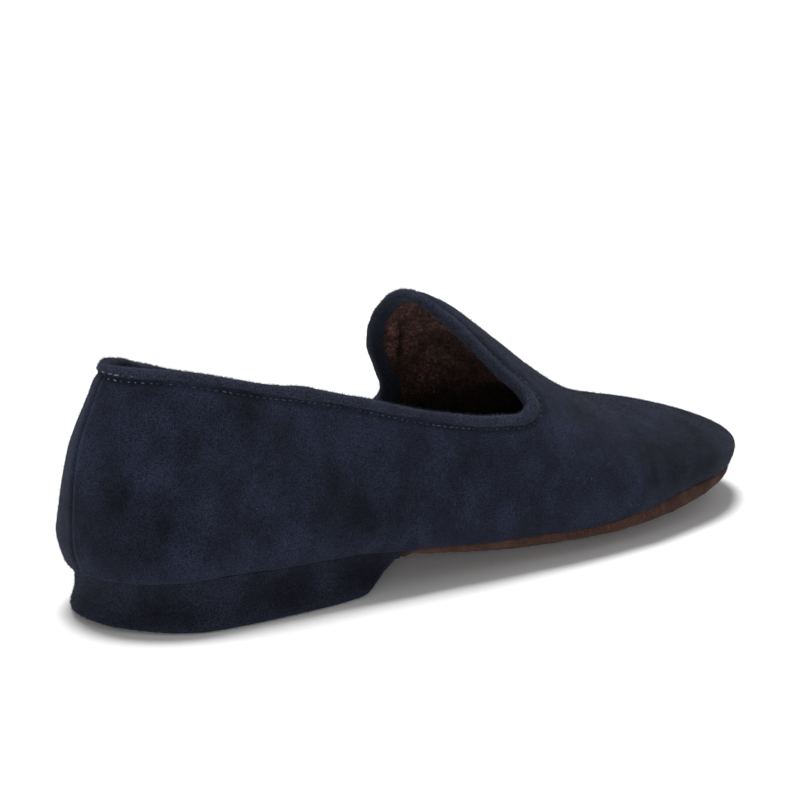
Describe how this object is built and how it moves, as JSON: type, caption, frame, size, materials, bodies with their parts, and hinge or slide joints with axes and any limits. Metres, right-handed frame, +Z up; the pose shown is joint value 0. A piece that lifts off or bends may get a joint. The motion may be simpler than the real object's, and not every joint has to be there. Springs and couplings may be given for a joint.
{
  "type": "house slipper",
  "caption": "Closed suede house slipper with a high rounded tongue, rolled binding, pile lining, soft sole and low covered heel; worn on one foot and standing on its sole.",
  "frame": {"origin": "centre of the box round the slipper, on the floor it stands on", "axes": "+X towards the toe, +Y to the wearer's left, +Z up"},
  "size_m": [0.288, 0.0992, 0.0939],
  "materials": {
    "upper_suede": "matt napped suede",
    "binding_suede": "matt napped suede",
    "sole_suede": "matt napped suede",
    "heel_suede": "matt napped suede",
    "top_piece": "matt napped suede",
    "lining_pile": "short soft pile"
  },
  "bodies": {
    "root": {"upper": "upper_suede", "topline_binding": "binding_suede", "outsole": "sole_suede", "heel": "heel_suede", "heel_top_piece": "top_piece", "insole": "lining_pile"}
  },
  "joints": []
}
